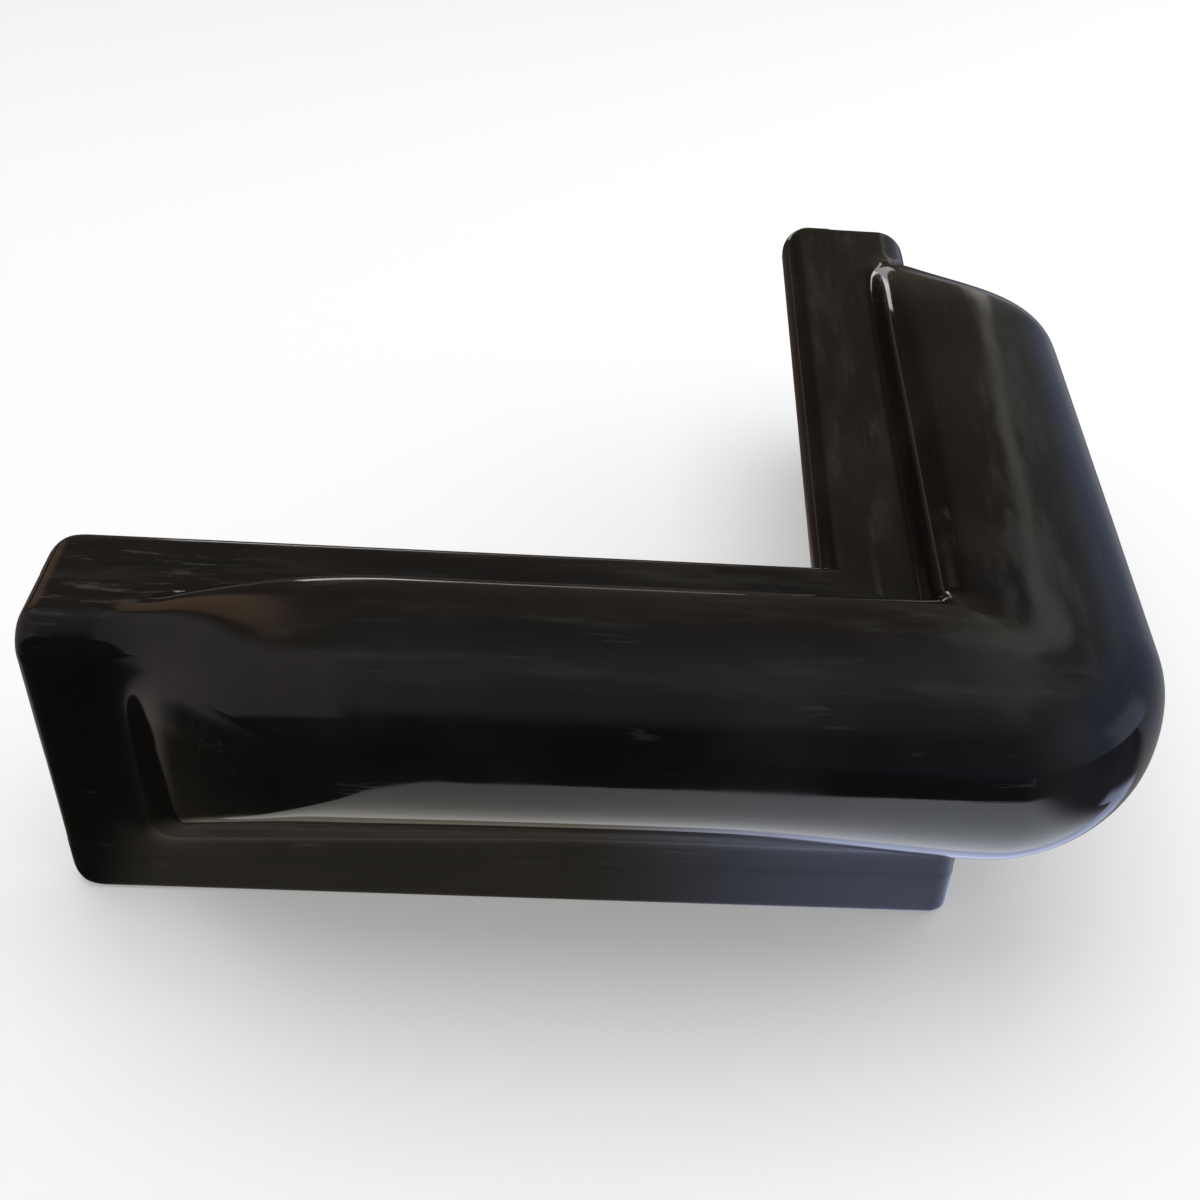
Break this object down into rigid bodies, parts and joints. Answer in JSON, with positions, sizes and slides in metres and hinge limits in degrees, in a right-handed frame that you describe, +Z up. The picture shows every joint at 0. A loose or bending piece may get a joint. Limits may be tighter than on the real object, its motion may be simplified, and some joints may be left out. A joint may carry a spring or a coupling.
{
  "type": "corner bumper",
  "caption": "Hollow moulded corner bumper for a dock: a right-angled flange that sits over the dock's edge, with a fat rounded bulge round the outside.",
  "frame": {"origin": "middle of the footprint, at the height of the side flanges' bottom edges", "axes": "+Z up, one arm along -X and the other along +Y from the corner, with the bulge on the -Y and +X sides"},
  "size_m": [0.636, 0.636, 0.245],
  "materials": {
    "gloss_black_skin": "moulded vinyl, glossy black with a slight waviness and fine scuffs"
  },
  "bodies": {
    "root": {"bumper_body": "gloss_black_skin"}
  },
  "joints": []
}
